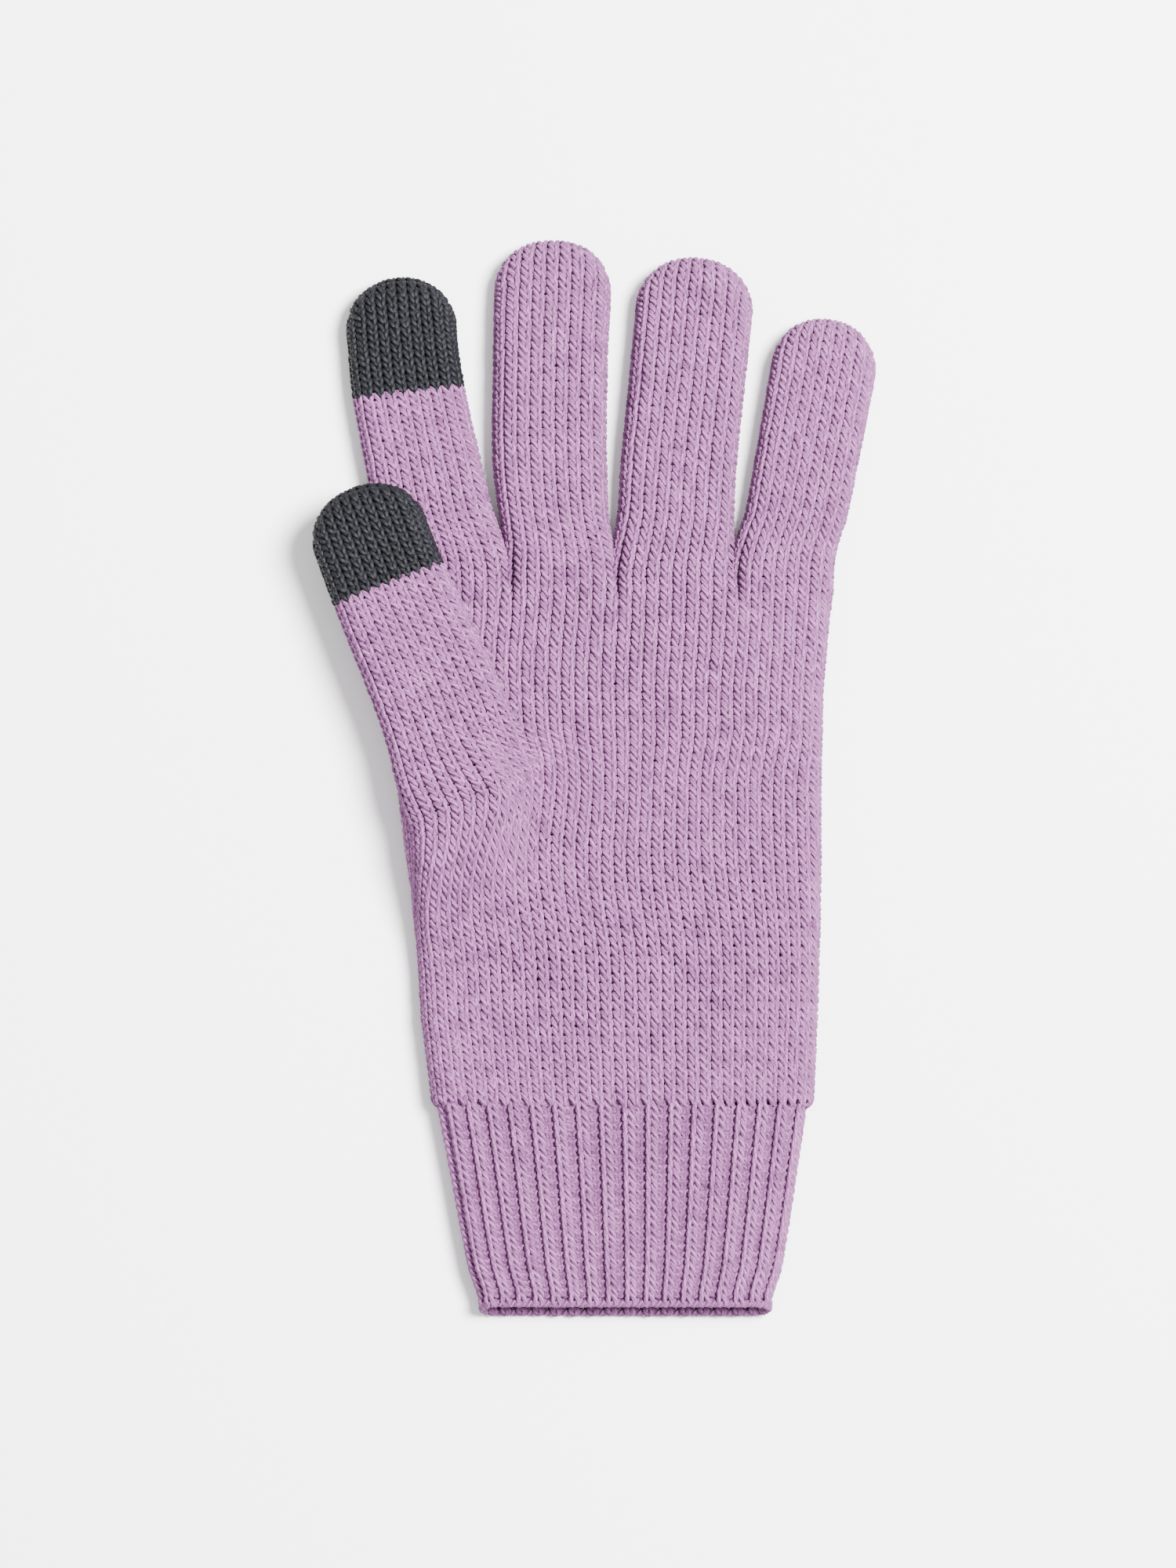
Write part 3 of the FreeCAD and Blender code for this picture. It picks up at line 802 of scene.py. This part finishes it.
# ---- materials -------------------------------------------------------------------------
def yarn_material(name, groove, crest, roughness, sheen, fibre_scale, fibre_depth, tone_and_shade_tint):
    """Plied yarn: painted shade between the plies, streaked by its fibres, uneven in tone from stitch to
    stitch, with painted shade on the loops' deep ends.
    """
    material = bpy.data.materials.new(name)
    material.use_nodes = True
    nodes, links = material.node_tree.nodes, material.node_tree.links
    shader = nodes["Principled BSDF"]
    shader.inputs["Roughness"].default_value = roughness
    shader.inputs["Sheen Weight"].default_value = sheen
    shader.inputs["Sheen Roughness"].default_value = 0.5
    shader.inputs["Specular IOR Level"].default_value = 0.25
    ply = nodes.new("ShaderNodeAttribute")
    ply.attribute_name = "ply"
    tone_and_painted_shade = nodes.new("ShaderNodeAttribute")
    tone_and_painted_shade.attribute_name = "tone_and_painted_shade"
    coordinate = nodes.new("ShaderNodeTexCoord")
    fibre = nodes.new("ShaderNodeTexNoise")
    fibre.inputs["Scale"].default_value = fibre_scale
    fibre.inputs["Detail"].default_value = 4.0
    fibre.inputs["Roughness"].default_value = 0.65
    links.new(coordinate.outputs["Object"], fibre.inputs["Vector"])
    # painted shade: the darker groove colour is laid between the plies, the crest colour on them, streaked by
    # the fibres
    mixed = nodes.new("ShaderNodeMix")
    mixed.data_type = "RGBA"
    mixed.inputs[6].default_value = (*groove, 1)
    mixed.inputs[7].default_value = (*crest, 1)
    level = nodes.new("ShaderNodeMath")
    level.operation = "MULTIPLY_ADD"
    links.new(fibre.outputs["Fac"], level.inputs[0])
    level.inputs[1].default_value = 0.9
    links.new(ply.outputs["Fac"], level.inputs[2])
    limited = nodes.new("ShaderNodeMapRange")
    limited.inputs["From Min"].default_value = 0.15
    limited.inputs["From Max"].default_value = 1.5
    links.new(level.outputs[0], limited.inputs["Value"])
    links.new(limited.outputs["Result"], mixed.inputs[0])
    varied = nodes.new("ShaderNodeMix")
    varied.data_type = "RGBA"
    varied.blend_type = "MULTIPLY"
    varied.inputs[0].default_value = 1.0
    # the tone attribute tints the colour: random tone from stitch to stitch, and painted shade on the loops'
    # deep ends and the rib's recesses
    shade = nodes.new("ShaderNodeMix")
    shade.data_type = "RGBA"
    shade.inputs[6].default_value = (*tone_and_shade_tint[0], 1)
    shade.inputs[7].default_value = (*tone_and_shade_tint[1], 1)
    links.new(tone_and_painted_shade.outputs["Fac"], shade.inputs[0])
    links.new(mixed.outputs[2], varied.inputs[6])
    links.new(shade.outputs[2], varied.inputs[7])
    links.new(varied.outputs[2], shader.inputs["Base Color"])
    bump = nodes.new("ShaderNodeBump")
    bump.inputs["Strength"].default_value = 0.7
    bump.inputs["Distance"].default_value = fibre_depth
    links.new(level.outputs[0], bump.inputs["Height"])
    links.new(bump.outputs["Normal"], shader.inputs["Normal"])
    return material


# the groove colours are painted shade between the plies; the tint runs from painted shade at low tone to a
# little over full colour
LILAC = yarn_material("lilac_yarn", groove=(0.065, 0.016, 0.058), crest=(0.312, 0.122, 0.297), roughness=0.88,
                      sheen=0.02, fibre_scale=2600.0, fibre_depth=0.00012,
                      tone_and_shade_tint=((0.50, 0.42, 0.50), (1.10, 1.10, 1.10)))
GREY = yarn_material("grey_conductive_yarn", groove=(0.0003, 0.0003, 0.0008), crest=(0.0068, 0.0066, 0.0112),
                     roughness=0.62, sheen=0.0, fibre_scale=3200.0, fibre_depth=0.00018,
                     tone_and_shade_tint=((0.45, 0.45, 0.47), (1.25, 1.25, 1.27)))


def elastic_material():
    material = bpy.data.materials.new("elastic_thread")
    material.use_nodes = True
    nodes, links = material.node_tree.nodes, material.node_tree.links
    shader = nodes["Principled BSDF"]
    shader.inputs["Roughness"].default_value = 0.22
    shader.inputs["Specular IOR Level"].default_value = 0.6
    noise = nodes.new("ShaderNodeTexNoise")
    noise.inputs["Scale"].default_value = 300.0
    colour = nodes.new("ShaderNodeMix")
    colour.data_type = "RGBA"
    colour.inputs[6].default_value = (0.20, 0.12, 0.22, 1)
    colour.inputs[7].default_value = (0.33, 0.25, 0.35, 1)
    links.new(noise.outputs["Fac"], colour.inputs[0])
    links.new(colour.outputs[2], shader.inputs["Base Color"])
    return material


ELASTIC = elastic_material()


# ---- pieces ----------------------------------------------------------------------------
def finished(yarn, name, material, node):
    piece = yarn.mesh(name, material)
    if node:
        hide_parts(node)
    return piece


def bend_at(piece):
    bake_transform(piece)


def knit_bands(name, surface, courses, node, seed):
    """A wide tube in bands of rows, so that no piece is too big."""
    random = np.random.default_rng(seed)
    band = 0
    for start in range(0, courses, ROWS_PER_PIECE):
        yarn = Yarn()
        for row in range(start, min(start + ROWS_PER_PIECE, courses)):
            knit_row(yarn, surface, row + 0.5, random)
        band += 1
        piece = finished(yarn, f"{name}_{band}", LILAC, node)
        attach(piece, "hand")


def tube_rows(tube, low, high, random, material_ply):
    yarn = Yarn()
    for row in range(low, high):
        knit_row(yarn, tube.surface, row + 0.5, random, **material_ply)
    return yarn


LILAC_PLY = {}
GREY_PLY = {"turn": 4.6, "relief": 0.11, "radius": 0.49, "steps": 24}


def build_finger(name, seed):
    tube, first, second, way_first, way_second = make_finger(name)
    random = np.random.default_rng(seed)
    halfway = tube.row_at((tube.line.at[1] + tube.line.at[2]) / 2.0)
    boundary = tube.row_at(tube.line.at[2])
    grey = name == "index"
    root = finished(tube_rows(tube, 0, halfway, random, LILAC_PLY), name + "_root_knit", LILAC,
                    name + "_root")
    bend_at(root)
    middle = finished(tube_rows(tube, halfway, boundary, random, LILAC_PLY), name + "_middle_knit", LILAC,
                      name + "_middle")
    bend_at(middle)
    tip_node = name + ("_touch_tip" if grey else "_tip")
    tip_yarn = tube_rows(tube, boundary, tube.courses, random, GREY_PLY if grey else LILAC_PLY)
    tip = finished(tip_yarn, tip_node + "_knit", GREY if grey else LILAC, tip_node)
    bend_at(tip)


def build_thumb(seed):
    tube, base, base_way, fold, way = make_thumb()
    random = np.random.default_rng(seed)
    halfway = tube.row_at(tube.line.at[1])
    boundary = tube.row_at(tube.line.at[2])
    lower = finished(tube_rows(tube, 0, halfway, random, LILAC_PLY), "thumb_lower_knit", LILAC, "thumb_tube")
    bend_at(lower)
    upper = finished(tube_rows(tube, halfway, boundary, random, LILAC_PLY), "thumb_upper_knit", LILAC, None)
    bend_at(upper)
    tip = finished(tube_rows(tube, boundary, tube.courses, random, GREY_PLY), "thumb_touch_tip_knit", GREY,
                   "thumb_touch_tip")
    bend_at(tip)


def build_cuff(seed):
    surface = cuff_surface()
    random = np.random.default_rng(seed)
    for number, start in enumerate(range(0, CUFF_COURSES, CUFF_ROWS_PER_PIECE), 1):
        yarn = Yarn()
        for row in range(start, min(start + CUFF_ROWS_PER_PIECE, CUFF_COURSES)):
            rib_row(yarn, surface, row + 0.5, random)
        piece = finished(yarn, f"cuff_rib_{number}", LILAC, "cuff_rib")
        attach(piece, "hand")
    build_cuff_edge(surface)
    build_elastic(surface)


def build_cuff_edge(surface):
    """Two yarns that wind round each other along the cast-on edge."""
    edge = Yarn()
    for phase in (0.0, math.pi):
        t = np.arange(surface.wales * EDGE_STEPS) * 2 * math.pi / EDGE_STEPS
        here, outward = surface.place(t / (2 * math.pi), -0.30 + 0.20 * np.sin(t + phase))
        path = here + outward * (-0.1 + 0.26 * np.cos(t + phase))[:, None]
        lump = 0.50 + 0.07 * np.cos(2 * t + phase)
        edge.add(path, outward, lump, np.ones(len(t)), np.full(len(t), 0.35))
    piece = finished(edge, "cuff_edge_knit", LILAC, "cuff_edge")
    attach(piece, "hand")


def build_elastic(surface):
    """The elastic thread winds along inside the rib and shows here and there between the columns."""
    thread = Yarn()
    for turn in range(ELASTIC_TURNS):
        course = ELASTIC_MARGIN + turn * (CUFF_COURSES - 2 * ELASTIC_MARGIN) / (ELASTIC_TURNS - 1)
        t = np.arange(surface.wales * ELASTIC_STEPS) / ELASTIC_STEPS
        here, outward = surface.place(t, course + 0.2 * np.sin(t * 1.3 + turn))
        show = 0.45 * np.sin(t * 0.37 + turn * 2.1) * np.sin(t * 0.11 + turn) - 0.85
        path = here + outward * show[:, None]
        round_section, plain_tone = np.ones(len(t)), np.full(len(t), 0.5)
        thread.add(path, outward, np.full(len(t), ELASTIC_RADIUS), round_section, plain_tone, relief=0.0)
    piece = finished(thread, "cuff_elastic_thread", ELASTIC, "cuff_elastic")
    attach(piece, "hand")


build_cuff(11)
knit_bands("palm_lower_knit", LOWER_PALM, LOWER_COURSES, "palm_lower", 12)
knit_bands("palm_upper_knit", UPPER_PALM, UPPER_COURSES, "palm_upper", 13)
for number, finger_name in enumerate(FINGERS):
    build_finger(finger_name, 20 + number)
build_thumb(30)


# ---- floor, light, camera ------------------------------------------------------------
FLOOR_REACH = 3.0
FLOOR_GAP = 0.0006       # the yarn of the back stands this far past the solids


def build_floor():
    mesh = bpy.data.meshes.new("floor")
    corners = [(x * FLOOR_REACH, y * FLOOR_REACH, 0) for x, y in ((-1, -1), (1, -1), (1, 1), (-1, 1))]
    mesh.from_pydata(corners, [], [(0, 1, 2, 3)])
    floor = bpy.data.objects.new("floor", mesh)
    bpy.context.collection.objects.link(floor)
    material = bpy.data.materials.new("floor")
    material.use_nodes = True
    shader = material.node_tree.nodes["Principled BSDF"]
    shader.inputs["Base Color"].default_value = (0.93, 0.93, 0.93, 1)
    shader.inputs["Roughness"].default_value = 0.9
    shader.inputs["Specular IOR Level"].default_value = 0.1
    mesh.materials.append(material)
    floor.location.z = cad_low.z - FLOOR_GAP


def add_light(name, place, size, power, target=(0.0, 0.0, 0.0)):
    light = bpy.data.lights.new(name, "AREA")
    light.shape = "DISK"
    light.size = size
    light.energy = power
    lamp = bpy.data.objects.new(name, light)
    bpy.context.collection.objects.link(lamp)
    lamp.location = place
    lamp.rotation_euler = (Vector(target) - Vector(place)).to_track_quat("-Z", "Y").to_euler()


def build_light():
    add_light("key", (0.66, 0.32, 1.45), 0.60, 166.0)
    add_light("overhead", (-0.2, 0.1, 1.9), 1.6, 12.5)
    world = bpy.data.worlds.new("studio")
    world.use_nodes = True
    world.node_tree.nodes["Background"].inputs[0].default_value = (1.0, 1.0, 1.0, 1.0)
    world.node_tree.nodes["Background"].inputs[1].default_value = 0.92
    bpy.context.scene.world = world


VIEW_HEIGHT_MM = 363.6  # how much of the table the picture shows, top to bottom
CAMERA_HEIGHT = 1.6
CAMERA_ASIDE = (-1.7, -1.4)


def build_camera():
    data = bpy.data.cameras.new("camera")
    data.sensor_width = 36.0
    data.lens = data.sensor_width * (CAMERA_HEIGHT / MM - TOP) / VIEW_HEIGHT_MM
    camera = bpy.data.objects.new("camera", data)
    bpy.context.collection.objects.link(camera)
    camera.location = (CAMERA_ASIDE[0] * MM, CAMERA_ASIDE[1] * MM, CAMERA_HEIGHT)
    bpy.context.scene.camera = camera


build_floor()
build_light()
build_camera()
